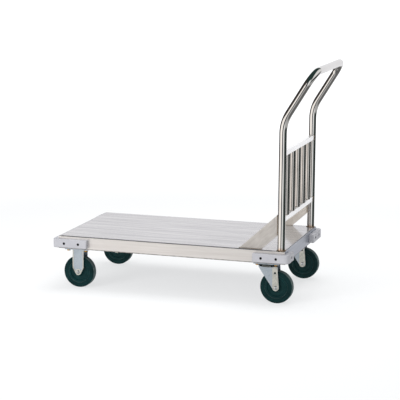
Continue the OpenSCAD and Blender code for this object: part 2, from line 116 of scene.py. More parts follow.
def set_stops(ramp, stops):
    """Colour stops as (position, colour); the ramp starts with two of its own."""
    elements = ramp.color_ramp.elements
    while len(elements) < len(stops):
        elements.new(1.0)
    for element, (position, colour) in zip(elements, sorted(stops, key=lambda s: s[0])):
        element.position, element.color = position, colour


print("white is", linear("FFFFFF"))

# %% [markdown]
# Polished metal only looks like metal when it has something to mirror. A studio could be built
# from panels and lamps; here it is painted on the world behind everything, which renders fast
# and is easy to change. Bright panels with dark gaps stand round the horizon, with a dark room on
# the right.

# %% The walls of the studio
def grey(value, tint="FFFFFF"):
    r, g, b, _ = linear(tint)
    return (value * r, value * g, value * b, 1.0)


# Share of a turn, brightness and tint. 0.5 is the camera's own side, 0.25 is square to its left
WALLS = [(0.000, 0.92, "FCFCFF"), (0.060, 0.92, "FCFCFF"), (0.085, 0.04, "FFEFE6"),
         (0.235, 0.04, "FFEFE6"), (0.255, 1.25, "FFFAF5"), (0.412, 1.25, "FFFAF5"),
         (0.424, 0.05, "C8DCFF"), (0.494, 0.05, "C8DCFF"), (0.505, 1.12, "FFFFFF"),
         (0.572, 1.05, "FFFFFF"), (0.585, 0.22, "F0FFFF"), (0.655, 0.18, "F0FFFF"),
         (0.670, 0.02, "DDFFF6"), (0.810, 0.04, "DDFFF0"), (0.860, 0.20, "FFFFFF"),
         (0.885, 0.95, "FCFCFF"), (1.000, 0.92, "FCFCFF")]
print(len(WALLS), "stops round the walls")

# %% [markdown]
# A direction in the world is three numbers, so each part of the room is a smooth step in one of
# them: up for a dark ceiling, away for the white screen at its end, left for a curtain and right
# for a window. Dull surfaces would only turn the stripes to noise, so they get a plain soft dome.

# %% The studio round the cart
SCREEN_Y, CEILING_Z = (0.78, 0.92), (0.20, 0.42)
CURTAIN_X, CURTAIN_Z = (-0.60, -0.78), (0.10, 0.18)
WINDOW_X, WINDOW_Z = (0.50, 0.68), (0.02, 0.14)
PAPER_Z, PIT_Z = (-0.26, -0.38), (-0.48, -0.62)
DOME_SIDE = (0.9, -0.7)


def build_studio():
    world = bpy.data.worlds.new("studio")
    bpy.context.scene.world = world
    world.use_nodes = True
    tree = world.node_tree
    tree.nodes.clear()

    def step(value, span):
        return add(tree, "ShaderNodeMapRange", {"Value": value, "From Min": span[0], "From Max": span[1]},
                   interpolation_type="SMOOTHSTEP").outputs[0]

    def over(fac, below, above):
        return add(tree, "ShaderNodeMixRGB", {"Fac": fac, "Color1": below, "Color2": above}).outputs[0]

    direction = add(tree, "ShaderNodeTexCoord").outputs["Generated"]
    turned = add(tree, "ShaderNodeVectorRotate", {"Vector": direction, "Angle": -CAMERA_AZIMUTH},
                 rotation_type="Z_AXIS").outputs[0]
    right, away, up = add(tree, "ShaderNodeSeparateXYZ", {"Vector": turned}).outputs
    behind = add(tree, "ShaderNodeMath", {0: away, 1: -1.0}, operation="MULTIPLY").outputs[0]
    angle = add(tree, "ShaderNodeMath", {0: right, 1: behind}, operation="ARCTAN2").outputs[0]
    share = add(tree, "ShaderNodeMapRange", {"Value": angle, "From Min": -math.pi, "From Max": math.pi})
    walls = add(tree, "ShaderNodeValToRGB", {"Fac": share.outputs[0]})
    set_stops(walls, [(place, grey(value, tint)) for place, value, tint in WALLS])
    ceiling = over(step(away, SCREEN_Y), grey(0.05, "C0FFF4"), grey(1.10, "FCFCFF"))
    upper = over(step(up, CEILING_Z), walls.outputs[0], ceiling)
    to_curtain = add(tree, "ShaderNodeMath", {0: step(right, CURTAIN_X), 1: step(up, CURTAIN_Z)},
                     operation="MULTIPLY").outputs[0]
    upper = over(to_curtain, upper, grey(0.05, "FFEFE6"))
    to_window = add(tree, "ShaderNodeMath", {0: step(right, WINDOW_X), 1: step(up, WINDOW_Z)},
                    operation="MULTIPLY").outputs[0]
    upper = over(to_window, upper, grey(0.95))
    # White paper lit near the cart, dark straight below it
    near_ground = over(step(up, PAPER_Z), upper, grey(0.50))
    ground = over(step(up, PIT_Z), near_ground, grey(0.15))
    # The dome for dull surfaces is brighter from the front left
    side = add(tree, "ShaderNodeMath", {0: right, 1: away}, operation="ADD").outputs[0]
    dome = over(step(side, DOME_SIDE), grey(0.26), grey(0.88))
    rays = add(tree, "ShaderNodeLightPath").outputs
    room = over(rays["Is Diffuse Ray"], ground, dome)
    shown = over(rays["Is Camera Ray"], room, grey(1.0))
    light = add(tree, "ShaderNodeBackground", {"Color": shown})
    add(tree, "ShaderNodeOutputWorld", {"Surface": light.outputs[0]})


build_studio()
bpy.context.scene.view_settings.view_transform = "Standard"
print("studio world ready")

# %% [markdown]
# The floor is a wide sheet of matt white paper. Lit paper alone would end in a grey line against
# the white behind it, so the sheet glows a little too, and more with distance until it is pure
# white. Near the cart it is still paper, and takes the soft shadow. Two large lamps light it.

# %% Floor
FLOOR_SIDE = 160
FLOOR_ALBEDO = 0.32
FLOOR_TINT = "FDFEFF"
NEAR_GLOW, FAR_GLOW = 0.655, 1.08
GLOW_START, GLOW_STOP = 1.6, 4.0


def build_floor():
    shape = bmesh.new()
    bmesh.ops.create_grid(shape, x_segments=1, y_segments=1, size=FLOOR_SIDE / 2)
    mesh = bpy.data.meshes.new("floor")
    shape.to_mesh(mesh)
    shape.free()
    floor = bpy.data.objects.new("floor", mesh)
    bpy.context.scene.collection.objects.link(floor)
    material = bpy.data.materials.new("matt white sweep")
    material.use_nodes = True
    tree = material.node_tree
    tree.nodes.clear()
    paper = add(tree, "ShaderNodeBsdfDiffuse", {"Color": grey(FLOOR_ALBEDO, FLOOR_TINT)})
    place = add(tree, "ShaderNodeTexCoord").outputs["Object"]
    reach = add(tree, "ShaderNodeVectorMath", {0: place}, operation="LENGTH").outputs["Value"]
    white = add(tree, "ShaderNodeMapRange",
                {"Value": reach, "From Min": GLOW_START, "From Max": GLOW_STOP, "To Min": NEAR_GLOW,
                 "To Max": FAR_GLOW}, interpolation_type="SMOOTHSTEP")
    glow = add(tree, "ShaderNodeEmission", {"Color": linear(FLOOR_TINT), "Strength": white.outputs[0]})
    both = add(tree, "ShaderNodeAddShader", {0: paper.outputs[0], 1: glow.outputs[0]})
    add(tree, "ShaderNodeOutputMaterial", {"Surface": both.outputs[0]})
    mesh.materials.append(material)
    # The metal mirrors the studio drawn in the world, not this endless sheet
    floor.visible_glossy = False
    return floor


floor = build_floor()
print("floor", floor.dimensions.x, "m across")

# %% Lamps
# Place, aim, side in metres and watts of each square lamp
SOFTBOXES = {"softbox_above": ((0.20, 0.50, 3.0), (0, 0, 0), 2.2, 60),
             "softbox_front_left": ((-1.9, -3.2, 1.3), (-0.2, 0, 0.2), 1.2, 50)}
for name, (place, aim, size, watts) in SOFTBOXES.items():
    lamp = bpy.data.lights.new(name, "AREA")
    lamp.shape, lamp.size, lamp.energy = "SQUARE", size, watts
    softbox = bpy.data.objects.new(name, lamp)
    bpy.context.scene.collection.objects.link(softbox)
    softbox.location = place
    softbox.rotation_mode = "QUATERNION"
    softbox.rotation_quaternion = (Vector(aim) - Vector(place)).to_track_quat("-Z", "Y")
    softbox.visible_glossy = False
print("lamps:", ", ".join(SOFTBOXES))

# %% [markdown]
# Every finish starts in the same way: a Principled shader that reads the piece's own Object
# coordinates, so that a pattern stays on its piece when the piece moves. An image could give the
# pattern; noise does it at any size and needs no file.

# %% Starting a finish
def new_finish(name, **constants):
    material = bpy.data.materials.new(name)
    material.use_nodes = True
    tree = material.node_tree
    tree.nodes.clear()
    shader = add(tree, "ShaderNodeBsdfPrincipled")
    for socket, value in constants.items():
        shader.inputs[socket.replace("_", " ")].default_value = value
    add(tree, "ShaderNodeOutputMaterial", {"Surface": shader.outputs[0]})
    place = add(tree, "ShaderNodeTexCoord").outputs["Object"]
    return material, tree, shader, place


def cloud(tree, place, size_mm, detail=2.0, turn=(0, 0, 0)):
    """Noise whose blotches are size_mm across: one size, or one for each axis."""
    sizes = (size_mm,) * 3 if isinstance(size_mm, (int, float)) else size_mm
    turned = add(tree, "ShaderNodeMapping", {"Vector": place, "Rotation": turn}, vector_type="POINT")
    scaled = add(tree, "ShaderNodeMapping", {"Vector": turned.outputs[0],
                                             "Scale": tuple(1 / (s * MM) for s in sizes)})
    return add(tree, "ShaderNodeTexNoise", {"Vector": scaled.outputs[0], "Scale": 1.0, "Detail": detail,
                                            "Roughness": 0.55}).outputs["Fac"]


# Noise seldom leaves this part of the range from 0 to 1
NOISE_LOW, NOISE_HIGH = 0.3, 0.7


def between(tree, noise, low, high):
    """Turns noise to a number from low to high."""
    return add(tree, "ShaderNodeMapRange", {"Value": noise, "From Min": NOISE_LOW, "From Max": NOISE_HIGH,
                                            "To Min": low, "To Max": high}).outputs[0]


def blend_colours(tree, fac, first, second):
    first = first if isinstance(first, bpy.types.NodeSocket) else linear(first)
    second = second if isinstance(second, bpy.types.NodeSocket) else linear(second)
    return add(tree, "ShaderNodeMixRGB", {"Fac": fac, "Color1": first, "Color2": second}).outputs[0]


def add_bump(tree, shader, height, depth_mm, strength=0.5):
    bump = add(tree, "ShaderNodeBump", {"Height": height, "Strength": strength, "Distance": depth_mm * MM})
    tree.links.new(bump.outputs[0], shader.inputs["Normal"])


print("finish helpers ready")

# %% [markdown]
# The deck, rails and braces are stainless steel rubbed with abrasive belts. That leaves straight
# grain, which streaks the colour and blurs reflections across it. An anisotropic shader could
# blur them; stretched noise is chosen because it also shows the streaks. The real lines are about
# 0.3 mm apart, finer than the render can show, so they are drawn some millimetres wide.

# %% Painted bottom shade and brushed steel
# Painted shade: this colour darkens the bottom edge of the rails and the bumpers
BOTTOM_SHADE_COLOUR = "6E6A69"
BOTTOM_SHADE_FADE = 1.2 * MM


def with_bottom_shade(tree, place, colour, top):
    """Paints shade on a colour below a height, more in some spots than in others."""
    height = add(tree, "ShaderNodeSeparateXYZ", {"Vector": place}).outputs["Z"]
    low = add(tree, "ShaderNodeMapRange", {"Value": height, "From Min": top, "From Max": top - BOTTOM_SHADE_FADE})
    spots = between(tree, cloud(tree, place, 18, 3.0), 0.35, 1.0)
    amount = add(tree, "ShaderNodeMath", {0: low.outputs[0], 1: spots}, operation="MULTIPLY").outputs[0]
    return blend_colours(tree, amount, colour, BOTTOM_SHADE_COLOUR)


def brushed_steel(name, pale, dark, rough, grain_mm, turn=(0, 0, 0), bump_mm=0.05, metal=1.0,
                  shade_top=None, stain_mm=140):
    """Steel with grain and faint stains. A metal value under 1 stands for the dull film of dust and oxide
    on a coarse finish, and painted shade darkens the steel below the height shade_top."""
    material, tree, shader, place = new_finish(name, Metallic=metal)
    grain = cloud(tree, place, grain_mm, 3.0, turn)
    stain = cloud(tree, place, stain_mm, 3.0)
    colour = blend_colours(tree, between(tree, grain, 0, 1), pale, dark)
    toned = blend_colours(tree, between(tree, stain, 0.0, 0.5), colour, dark)
    if shade_top:
        toned = with_bottom_shade(tree, place, toned, shade_top)
    tree.links.new(toned, shader.inputs["Base Color"])
    tree.links.new(between(tree, grain, *rough), shader.inputs["Roughness"])
    add_bump(tree, shader, grain, bump_mm, 0.4)
    return material


RAIL_GRAIN = (260, 260, 7)
# Painted shade darkens the rails along their bottom edge, below this height
RAIL_SHADE_TOP = rail_low.z + 3.8 * MM
sheet_steel = brushed_steel("brushed stainless deck sheet", "D3D1D1", "ABA9AB", (0.08, 0.17),
                            (300, 14, 14), metal=0.6, stain_mm=(260, 20, 20))
# Painted light and shade: the side rails take a pale lit copy of the satin steel, the end rails, bridges
# and cross pieces a darker, bluer copy painted as shade
lit_rail_steel = brushed_steel("satin stainless rails", "F4F1EF", "E8E4E1", (0.36, 0.42), RAIL_GRAIN,
                           metal=0.75, shade_top=RAIL_SHADE_TOP)
shaded_end_rail_steel = brushed_steel("satin stainless end rails, painted shade", "BCC0C9", "AEB2BC", (0.36, 0.42), RAIL_GRAIN,
                               metal=0.85, shade_top=RAIL_SHADE_TOP)
# Painted shade: a dark finish for the strip in the step beside the deck's edge
seam_shade = brushed_steel("dark oxide in a welded seam", "8C8C97", "2C2E4A", (0.55, 0.7), (24, 24, 24))
print("brushed finishes:", sheet_steel.name, "/", lit_rail_steel.name)

# %% [markdown]
# The handle is stainless tube polished to a mirror, so its roughness is close to nothing and
# faint haze is all that varies. Welding leaves straw and brown colours in the steel for a few
# millimetres round the foot of each post; they could be a piece of their own, but painting them
# by height keeps the tube whole.

# %% Mirror polished tube
def polished_tube(name, pale, dark, rough, tint_top=None, metal=1.0):
    material, tree, shader, place = new_finish(name, Metallic=metal)
    haze = cloud(tree, place, (60, 160, 90), 2.0)
    colour = blend_colours(tree, between(tree, haze, 0, 1), pale, dark)
    if tint_top:
        height = add(tree, "ShaderNodeSeparateXYZ", {"Vector": place}).outputs["Z"]
        reach = add(tree, "ShaderNodeMapRange", {"Value": height, "From Min": deck_top + tint_top,
                                                 "From Max": deck_top, "To Min": 0.0, "To Max": 0.75})
        colour = blend_colours(tree, reach.outputs[0], colour, "B07F4C")
    tree.links.new(colour, shader.inputs["Base Color"])
    tree.links.new(between(tree, haze, *rough), shader.inputs["Roughness"])
    return material


HEAT_TINT_HEIGHT = 14 * MM
tube_steel = polished_tube("mirror polished stainless tube", "E4E2DF", "D4D2CF", (0.02, 0.05),
                           HEAT_TINT_HEIGHT)
grille_steel = polished_tube("polished stainless grille tube", "FCFCFC", "F2F2F2", (0.10, 0.16), metal=0.6)
bar_steel = polished_tube("polished stainless grille bars", "CDC9C5", "B8B4B0", (0.06, 0.12))
print("polished finishes:", tube_steel.name, "/", grille_steel.name)

# %% [markdown]
# The braces are stainless flat bar, ground along their slope. One finish could serve both, but the left bar
# is painted darker as shade and the right bar paler as light, so each has its own two tones. Weld beads are
# the same steel with straw colours where the heat was.

# %% Braces and weld beads
BRACE_ANGLE = math.radians(42.5)
# Painted light and shade: the left brace's tones are darker as shade, the right brace's paler as light
BRACE_SHADED_AND_LIT_TONES = {"left": ("DEDAD6", "C9C4BF"), "right": ("F6F0E8", "E8E0D6")}
brace_steels_shaded_and_lit = {side: brushed_steel(f"stainless flat bar {side}", *tones, (0.34, 0.44), (40, 20, 9),
                                    turn=(0, BRACE_ANGLE, 0), bump_mm=0.12, metal=0.65)
                for side, tones in BRACE_SHADED_AND_LIT_TONES.items()}
bead_steel = brushed_steel("stainless weld bead", "E9E0D2", "A98C68", (0.24, 0.42), (7, 7, 7), bump_mm=0.3)
print(", ".join(m.name for m in brace_steels_shaded_and_lit.values()), "/", bead_steel.name)

# %% [markdown]
# The castor forks are pressed from sheet steel and zinc plated, which dries to a blue-grey bloom
# with slightly different tones from patch to patch. The bolts have the yellow kind, which shifts
# from gold to brown. One colour would look like paint, so a ramp runs several tones together.

# %% Zinc plating
def zinc_plate(name, tones, patch_mm, rough, shade_from=None):
    """Plating with tones that run into each other; painted shade darkens it above shade_from."""
    material, tree, shader, place = new_finish(name, Metallic=0.85)
    patches = cloud(tree, place, patch_mm, 3.0)
    ramp = add(tree, "ShaderNodeValToRGB", {"Fac": patches})
    first, last = 0.32, 0.68
    places = [first + (last - first) * i / (len(tones) - 1) for i in range(len(tones))]
    set_stops(ramp, [(spot, linear(tone)) for spot, tone in zip(places, tones)])
    colour = ramp.outputs[0]
    if shade_from:
        height = add(tree, "ShaderNodeSeparateXYZ", {"Vector": place}).outputs["Z"]
        crown_shade = add(tree, "ShaderNodeMapRange", {"Value": height, "From Min": shade_from,
                                                  "From Max": shade_from + 1.2 * MM})
        colour = blend_colours(tree, crown_shade.outputs[0], colour, "1B2221")
    tree.links.new(colour, shader.inputs["Base Color"])
    tree.links.new(between(tree, patches, *rough), shader.inputs["Roughness"])
    add_bump(tree, shader, cloud(tree, place, 1.5, 1.0), 0.03)
    return material


BLUE_ZINC = ["AEBBC6", "C3CED8", "B9C6D2", "D3DAE0"]
fork_zinc = zinc_plate("blue zinc plated pressing", BLUE_ZINC, 12, (0.30, 0.44))
yellow_zinc = zinc_plate("yellow zinc plated bolt", ["93621F", "C4903C", "BC9448", "A8823E"], 5,
                         (0.24, 0.36))
# Painted light: a paler zinc for the outer faces of the fork legs
lit_rim_zinc = zinc_plate("paler zinc painted lit on a pressed rim", ["D9DAD2", "E6E6DF", "CFD1CA", "E0E0D8"], 10,
                      (0.34, 0.46))
crown_low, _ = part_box("ball_ring_left")
# Painted shade: the swivel fork darkens above its crown, in the gap under the top plate
swivel_zinc = zinc_plate("blue zinc plated swivel fork", BLUE_ZINC, 12, (0.30, 0.44),
                         shade_from=crown_low.z - 4.0 * MM)
# Painted shade: the ball rings in the gap under the top plate are dark
shaded_ring_zinc = zinc_plate("zinc ball ring painted dark as shade", ["4E5558", "6A7274", "5C6466"], 6, (0.3, 0.44))
turned_steel = zinc_plate("bright zinc plated turning", ["C9CCD0", "E2E4E6", "D5D8DC"], 6, (0.22, 0.34))
screw_steel = zinc_plate("blackened screw steel", ["1E1F22", "2A2B2E", "242528"], 4, (0.4, 0.55))
print("zinc finishes:", fork_zinc.name, "/", yellow_zinc.name)

# %% [markdown]
# Bumpers, wheel cores and tyres are moulded. Moulded plastic has a fine spark-eroded texture from
# its tool; a solid tyre has the same, with dust rubbed into the tread. The texture could be
# carved, but at a tenth of a millimetre deep a bump in the shader does as well.

# %% Moulded plastic and rubber
bumper_low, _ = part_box("bumper_front_left")


def moulded(name, tones, blotch_mm, rough, texture_mm, depth_mm, shade_top=None, **constants):
    material, tree, shader, place = new_finish(name, **constants)
    blotch = cloud(tree, place, blotch_mm, 3.0)
    colour = blend_colours(tree, between(tree, blotch, 0, 1), *tones)
    if shade_top:
        colour = with_bottom_shade(tree, place, colour, shade_top)
    tree.links.new(colour, shader.inputs["Base Color"])
    tree.links.new(between(tree, blotch, *rough), shader.inputs["Roughness"])
    add_bump(tree, shader, cloud(tree, place, texture_mm, 2.0), depth_mm)
    return material


# Painted shade darkens the bumpers along their bottom edge
bumper_plastic = moulded("grey moulded bumper", ("B9B9BE", "AFAFB5"), 40, (0.42, 0.55), 1.2, 0.08,
                         shade_top=bumper_low.z + 2.4 * MM, IOR=1.5)
WHEEL_GLOSS = 0.14
core_plastic = moulded("dark moulded wheel core", ("0A3334", "062627"), 22, (0.36, 0.5), 1.2, 0.06,
                       Specular_IOR_Level=WHEEL_GLOSS)
tyre_rubber = moulded("dark solid rubber tyre", ("082E2F", "052223"), 22, (0.5, 0.66), 1.4, 0.1,
                      Specular_IOR_Level=WHEEL_GLOSS)
tread_rubber = moulded("dusty rubber tread", ("5E6E6C", "33474A"), 16, (0.7, 0.85), 1.4, 0.15)
# Painted shade: a dark finish for the inside of the screw holes
bore_shade = moulded("painted shade in a screw hole", ("2A2A2D", "1C1C1F"), 6, (0.7, 0.9), 1.0, 0.1)
print("moulded finishes:", bumper_plastic.name, "/", tyre_rubber.name)

# %% [markdown]
# A piece is finished the same way each time: its mesh gets smooth faces with sharp edges kept, its finish
# and the body it moves with, and the CAD nodes that it stands for are hidden. Smooth shading alone makes
# flat steel look dented beside a bevel, so big flat faces stay flat and a Weighted Normal modifier shades
# each bevel from them.

# %% Which faces are flat
record = frame["record"]
node_slots = {s["node"]: s["material_slot"] for s in record["subparts"]}
node_bodies = {n: b for b, names in record["behaviour"]["bodies"].items() for n in names}
made = []
SHARP_ANGLE = math.radians(38)
FLAT_AREA = 20 * MM * MM
FLAT_BEND = math.radians(0.6)
CURVE_BEND = math.radians(16)


def is_flat_plate(face):
    """A big face with no slightly turned neighbour isn't part of a curve, so it is shaded flat."""
    if face.calc_area() < FLAT_AREA:
        return False
    bends = [edge.calc_face_angle(0) for edge in face.edges if len(edge.link_faces) == 2]
    return all(bend < FLAT_BEND or bend > CURVE_BEND for bend in bends)


print("nodes in the frame:", len(node_slots))

# %% Turning a bmesh into a piece of the cart
def to_piece(shape, name, finish, body, nodes=()):
    shape.faces.ensure_lookup_table()
    smooth = [not is_flat_plate(face) for face in shape.faces]
    mesh = bpy.data.meshes.new(name)
    shape.to_mesh(mesh)
    shape.free()
    mesh.polygons.foreach_set("use_smooth", smooth)
    mesh.set_sharp_from_angle(angle=SHARP_ANGLE)
    mesh.materials.append(finish)
    piece = bpy.data.objects.new(name, mesh)
    bpy.context.scene.collection.objects.link(piece)
    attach(piece, body)
    if nodes:
        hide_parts(*nodes)
    # Shades a bevel from the big faces beside it, so that flat steel looks flat
    weighted = piece.modifiers.new("even shading", "WEIGHTED_NORMAL")
    weighted.keep_sharp = True
    made.append(piece)
    return piece


def merged_copy(node):
    """The CAD node's triangles as one closed shape, with flat faces made whole again."""
    shape = bmesh.new()
    shape.from_mesh(frame["nodes"][node].data)
    bmesh.ops.remove_doubles(shape, verts=shape.verts, dist=0.002 * MM)
    bmesh.ops.dissolve_limit(shape, angle_limit=math.radians(0.5), verts=shape.verts, edges=shape.edges)
    return shape


def soften(shape, width, picked, segments=2):
    edges = [e for e in shape.edges if len(e.link_faces) == 2 and picked(e)]
    bmesh.ops.bevel(shape, geom=edges, offset=width, offset_type="OFFSET", affect="EDGES",
                    segments=segments, profile=0.5, material=-1, clamp_overlap=True)
    return len(edges)


def is_sharp(edge, angle=math.radians(50)):
    return edge.calc_face_angle(0) > angle


def second_finish(piece, finish, wanted):
    """Gives a second finish to the faces whose centre and normal the test picks."""
    piece.data.materials.append(finish)
    for face in piece.data.polygons:
        if wanted(face.center, face.normal):
            face.material_index = 1


print("piece helpers ready; shaded smooth under", round(math.degrees(SHARP_ANGLE)), "degrees")

# %% [markdown]
# The deck's flat pieces are folded and sheared sheet, so their CAD shapes are right but their
# edges are too keen. They could be drawn again; it is quicker and safer to copy each one, merge
# its triangles and bevel its long edges.

# %% Softened deck, rails and cross pieces
def soften_node(node, name, finish, width, picked=is_sharp, segments=2):
    shape = merged_copy(node)
    count = soften(shape, width, picked, segments)
    print(name, count, "edges rounded")
    return to_piece(shape, name, finish, node_bodies[node], [node])


LONG_EDGE = 12 * MM


def is_long_and_sharp(edge):
    return is_sharp(edge) and edge.calc_length() > LONG_EDGE


soften_node("deck_sheet", "deck_plate", sheet_steel, 0.5 * MM, is_long_and_sharp)
# The side rails take the copy of the satin steel that is painted lit
for side in ("left", "right"):
    soften_node(f"side_rail_{side}", f"deck_rail_{side}", lit_rail_steel, 0.9 * MM, is_long_and_sharp)
# The end rails, bridges and cross pieces take the copy painted as shade
for end in ("front", "rear"):
    soften_node(f"end_rail_{end}", f"deck_rail_{end}", shaded_end_rail_steel, 0.9 * MM, is_long_and_sharp)
    soften_node(f"castor_bridge_{end}", f"bridge_{end}", shaded_end_rail_steel, 0.6 * MM, is_long_and_sharp)
    soften_node(f"cross_member_{end}", f"crosspiece_{end}", shaded_end_rail_steel, 0.6 * MM, is_long_and_sharp)

# %% [markdown]
# A grey plastic bumper is screwed round each corner. Moulding rounds its outline but leaves the
# counterbores of its screws crisp, so only edges of the outline are bevelled. The bores are in shade; a
# dark second finish on their faces paints that shade without another piece.

# %% Moulded corner bumpers
BUMPER_EDGE = 1.6 * MM
HOLE_REACH = 6 * MM
LEVEL = 0.01 * MM


def is_outline(edge, low, high):
    """The outlines of the top and the bottom, and the upright edges, but not the screw holes."""
    levels = [v.co.z for v in edge.verts]
    flat = any(all(abs(z - end) < LEVEL for z in levels) for end in (low, high))
    upright = abs(levels[0] - levels[1]) > (high - low) * 0.98
    return is_sharp(edge) and (flat or upright)


def is_in_hole(mesh, face, middle):
    """A small face at the middle height, where only the screw holes have any."""
    corners = [mesh.vertices[i].co for i in face.vertices]
    return all(abs(p.z - middle) < HOLE_REACH and (p - face.center).length < HOLE_REACH for p in corners)


for corner in (f"{end}_{side}" for end in ("front", "rear") for side in ("left", "right")):
    low, high = (v.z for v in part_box(f"bumper_{corner}"))
    bumper = soften_node(f"bumper_{corner}", f"corner_bumper_{corner}", bumper_plastic, BUMPER_EDGE,
                         lambda edge: is_outline(edge, low, high), 3)
    # Painted shade: the faces inside the screw holes get the dark finish
    bumper.data.materials.append(bore_shade)
    holes = [face for face in bumper.data.polygons if is_in_hole(bumper.data, face, (low + high) / 2)]
    for face in holes:
        face.material_index = 1
    print(len(holes), "faces in screw holes")

# %% [markdown]
# The handle is one bent tube: straight up, round the lower bend, up the slope, round the top
# corner and along the crossbar. A curve with a round bevel could make it, but spin and extrude
# bend a tube as a bender does, with exact radii. Half is made, and the rest is its mirror image.

# %% Push handle
TUBE_R = 14.3 * MM
LEAN = math.radians(31.5)
LEAN_RISE = 186 * MM
BEND_R = 145 * MM
CORNER_R = 58 * MM
RING = 48
post_x = handle_low.x + TUBE_R
post_y = handle_high.y - TUBE_R
bar_z = handle_high.z - TUBE_R
bend_z = bar_z - LEAN_RISE


def extrude_ring(shape, edges, step):
    result = bmesh.ops.extrude_edge_only(shape, edges=edges)["geom"]
    bmesh.ops.translate(shape, vec=step, verts=[g for g in result if isinstance(g, bmesh.types.BMVert)])
    return [g for g in result if isinstance(g, bmesh.types.BMEdge)]


def spin_ring(shape, edges, centre, axis, angle, steps):
    result = bmesh.ops.spin(shape, geom=edges, cent=centre, axis=axis, angle=angle, steps=steps)
    return [g for g in result["geom_last"] if isinstance(g, bmesh.types.BMEdge)]


def build_handle():
    shape = bmesh.new()
    foot = bmesh.ops.create_circle(shape, cap_ends=False, radius=TUBE_R, segments=RING)["verts"]
    bmesh.ops.translate(shape, verts=foot, vec=(post_x, post_y, handle_low.z))
    edges = list(shape.edges)
    bmesh.ops.holes_fill(shape, edges=edges)
    slope = Vector((math.sin(LEAN), 0, math.cos(LEAN)))
    tangent = BEND_R * math.tan(LEAN / 2)
    edges = extrude_ring(shape, edges, Vector((0, 0, bend_z - tangent - handle_low.z)))
    edges = spin_ring(shape, edges, (post_x + BEND_R, post_y, bend_z - tangent), (0, 1, 0), LEAN, 12)
    rise = LEAN_RISE / math.cos(LEAN) - tangent - CORNER_R
    edges = extrude_ring(shape, edges, slope * rise)
    corner = Vector((post_x, post_y - CORNER_R, bend_z)) + slope * (tangent + rise)
    across = slope.cross(Vector((0, 1, 0)))
    edges = spin_ring(shape, edges, corner, -across, math.pi / 2, 20)
    extrude_ring(shape, edges, Vector((0, CORNER_R - post_y, 0)))
    bmesh.ops.mirror(shape, geom=shape.verts[:] + shape.edges[:] + shape.faces[:],
                     matrix=Matrix.Identity(4), axis="Y", merge_dist=0.05 * MM)
    bmesh.ops.remove_doubles(shape, verts=shape.verts, dist=0.01 * MM)
    bmesh.ops.recalc_face_normals(shape, faces=shape.faces)
    return shape


handle = to_piece(build_handle(), "push_handle", tube_steel, "cart", ["handle_tube"])
handle_box = [Vector(c) for c in handle.bound_box]
handle_size = [round(max(c[i] for c in handle_box) - min(c[i] for c in handle_box), 4) for i in range(3)]
print("handle spans", handle_size, "CAD", [round(v, 4) for v in handle_high - handle_low])

# %% [markdown]
# The grille rails are square tube with rolled corners, and the upright bars are plain round tube
# between them. Bevelled cubes would round the ends of the rails as well, so a square with bevelled
# corners is carried along Y instead. The rails end inside the posts. The braces only have their
# long edges softened.

# %% Grille and braces
ROLLED_CORNER = 2.2 * MM
SINK = 0.4 * MM
RAIL_SHORTER = 4 * MM
bottom_rail_low, bottom_rail_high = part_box("grille_bottom_rail")
top_rail_low, top_rail_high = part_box("grille_top_rail")


def square_rail(low, high):
    side = high.z - low.z
    shape = bmesh.new()
    bmesh.ops.create_grid(shape, x_segments=1, y_segments=1, size=side / 2)
    bmesh.ops.rotate(shape, verts=shape.verts, cent=(0, 0, 0), matrix=Matrix.Rotation(math.pi / 2, 3, "X"))
    bmesh.ops.bevel(shape, geom=shape.verts[:], offset=ROLLED_CORNER, offset_type="OFFSET",
                    affect="VERTICES", segments=4, profile=0.5, material=-1)
    length = high.y - low.y - RAIL_SHORTER
    start = Vector(((low.x + high.x) / 2, -length / 2, (low.z + high.z) / 2))
    bmesh.ops.translate(shape, verts=shape.verts, vec=start)
    walls = bmesh.ops.extrude_face_region(shape, geom=shape.faces[:])["geom"]
    far_end = [g for g in walls if isinstance(g, bmesh.types.BMVert)]
    bmesh.ops.translate(shape, vec=(0, length, 0), verts=far_end)
    bmesh.ops.recalc_face_normals(shape, faces=shape.faces)
    return shape


def round_bar(low, high):
    shape = bmesh.new()
    radius = (high.x - low.x) / 2
    bottom, top = bottom_rail_high.z - SINK, top_rail_low.z + SINK
    bmesh.ops.create_cone(shape, cap_ends=True, segments=40, radius1=radius, radius2=radius,
                          depth=top - bottom)
    middle = Vector(((low.x + high.x) / 2, (low.y + high.y) / 2, (bottom + top) / 2))
    bmesh.ops.translate(shape, verts=shape.verts, vec=middle)
    return shape


for level, box in (("bottom", (bottom_rail_low, bottom_rail_high)), ("top", (top_rail_low, top_rail_high))):
    to_piece(square_rail(*box), f"grille_rail_{level}", grille_steel, "cart",
             [f"grille_{level}_rail"])
bar_names = sorted(n for n in node_slots if n.startswith("grille_bar_"))
for bar in bar_names:
    upright = bar.replace("grille_bar", "upright_bar")
    to_piece(round_bar(*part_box(bar)), upright, bar_steel, "cart", [bar])
for side in ("left", "right"):
    soften_node(f"brace_{side}", f"flat_brace_{side}", brace_steels_shaded_and_lit[side], 0.7 * MM, is_long_and_sharp)
print(len(bar_names), "upright bars")

# %% [markdown]
# A weld made by hand is a row of small overlapping puddles, like coins pushed over. A plain rounded
# strip could stand for it, but the ripples are what the eye knows. Each bead here is a chain of
# flattened domes along a path, every dome with only a few dozen faces.

# %% One weld bead
LEAN_BACK = math.radians(-18)


def circle_path(centre, radius, step):
    count = round(radius * math.tau / step)
    return [centre + Vector((math.cos(a), math.sin(a), 0)) * radius
            for a in (math.tau * i / count for i in range(count))]


def straight_path(first, last, step):
    count = max(1, round((last - first).length / step))
    return [first.lerp(last, i / count) for i in range(count + 1)]


